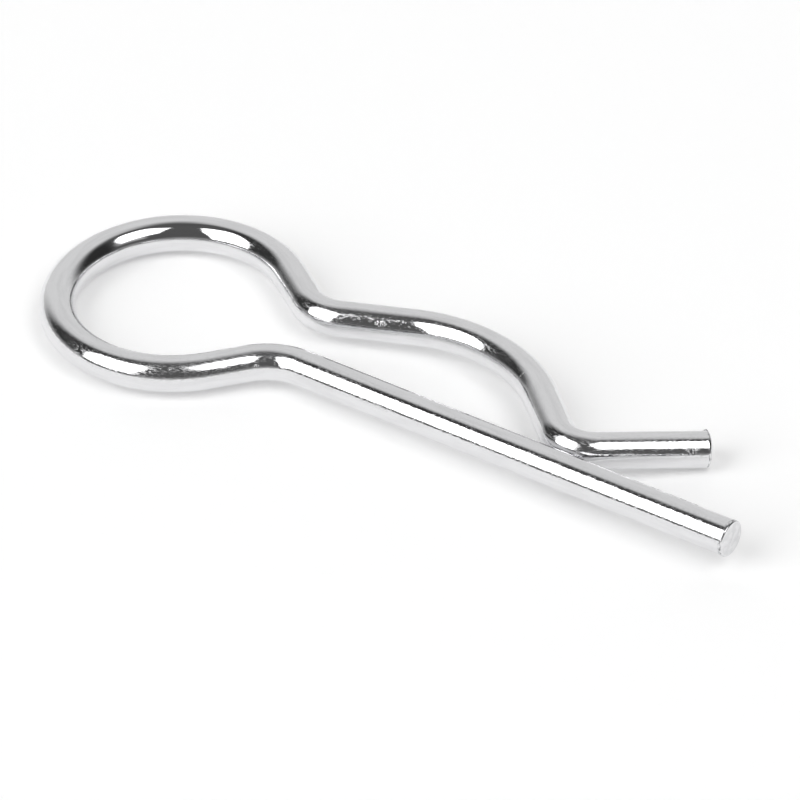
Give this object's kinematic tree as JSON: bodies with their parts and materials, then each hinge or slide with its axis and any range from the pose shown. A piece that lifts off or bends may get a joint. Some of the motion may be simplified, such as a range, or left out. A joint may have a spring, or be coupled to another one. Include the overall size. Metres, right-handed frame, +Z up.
{
  "type": "hitch r clip pin",
  "caption": "R-shaped spring wire clip: a straight leg goes through a cross hole, a humped sprung leg grips the shaft, and a round loop is pulled to free it.",
  "frame": {"origin": "on the surface that the clip lies on, at half its length and under the centre line of the pull loop", "axes": "+X along the clip from the pull loop to the tip of the straight leg, +Y towards the sprung leg, +Z up from the surface that it lies on"},
  "size_m": [0.065, 0.0222, 0.0042],
  "materials": {
    "plated_steel": "bright plated drawn spring wire"
  },
  "bodies": {
    "root": {"clip_wire": "plated_steel"}
  },
  "joints": []
}
